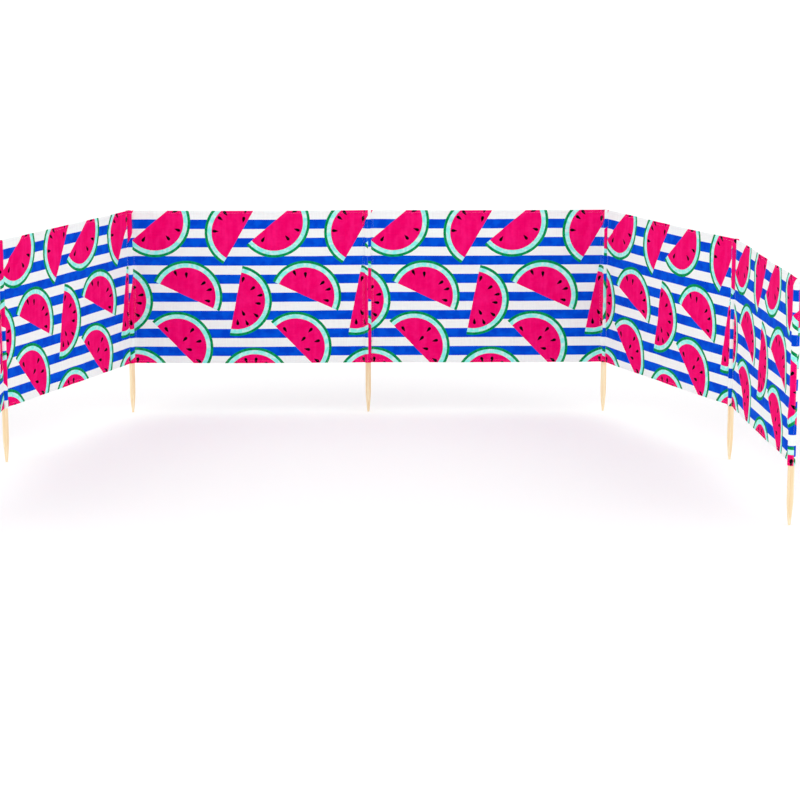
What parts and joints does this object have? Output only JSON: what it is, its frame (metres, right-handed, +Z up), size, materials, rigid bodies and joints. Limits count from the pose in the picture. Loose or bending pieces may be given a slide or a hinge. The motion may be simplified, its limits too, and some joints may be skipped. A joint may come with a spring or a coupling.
{
  "type": "beach windbreak",
  "caption": "Folding beach windbreak of printed cloth bays between round wooden poles, each pole in a sewn pocket with its tapered point bare below the cloth.",
  "frame": {"origin": "blunt tip of the middle pole", "axes": "+Z up along the poles, +X along the middle two bays to the right seen from the front, -Y to the front, into the U"},
  "size_m": [3.164, 2.0985, 0.93],
  "materials": {
    "pole_wood": "plain sanded softwood dowel",
    "pocket_cloth": "printed woven cloth, matt",
    "printed_cloth": "printed woven cloth, matt"
  },
  "bodies": {
    "middle_pole": {"pole_4": "pole_wood", "pocket_4": "pocket_cloth"},
    "bay_3": {"panel_3": "printed_cloth", "pole_3": "pole_wood", "pocket_3": "pocket_cloth"},
    "bay_2": {"panel_2": "printed_cloth", "pole_2": "pole_wood", "pocket_2": "pocket_cloth"},
    "bay_1": {"panel_1": "printed_cloth", "pole_1": "pole_wood", "pocket_1": "pocket_cloth"},
    "bay_4": {"panel_4": "printed_cloth", "pole_5": "pole_wood", "pocket_5": "pocket_cloth"},
    "bay_5": {"panel_5": "printed_cloth", "pole_6": "pole_wood", "pocket_6": "pocket_cloth"},
    "bay_6": {"panel_6": "printed_cloth", "pole_7": "pole_wood", "pocket_7": "pocket_cloth"}
  },
  "joints": [
    {"name": "bay_4_turn", "type": "hinge", "parent": "middle_pole", "child": "bay_4", "pos_m": [0, 0, 0.58], "axis": [0, 0, -1], "range_deg": [-70, 70]},
    {"name": "bay_5_turn", "type": "hinge", "parent": "bay_4", "child": "bay_5", "pos_m": [1.08, 0, 0.58], "axis": [0, 0, 1], "range_deg": [-83.5, 216.5]},
    {"name": "bay_6_turn", "type": "hinge", "parent": "bay_5", "child": "bay_6", "pos_m": [1.51065, -0.99042, 0.58], "axis": [0, 0, -1], "range_deg": [-170.5, 129.5]},
    {"name": "bay_3_turn", "type": "hinge", "parent": "middle_pole", "child": "bay_3", "pos_m": [0, 0, 0.58], "axis": [0, 0, 1], "range_deg": [-70, 70]},
    {"name": "bay_2_turn", "type": "hinge", "parent": "bay_3", "child": "bay_2", "pos_m": [-1.08, 0, 0.58], "axis": [0, 0, -1], "range_deg": [-83.5, 216.5]},
    {"name": "bay_1_turn", "type": "hinge", "parent": "bay_2", "child": "bay_1", "pos_m": [-1.51065, -0.99042, 0.58], "axis": [0, 0, 1], "range_deg": [-170.5, 129.5]}
  ]
}
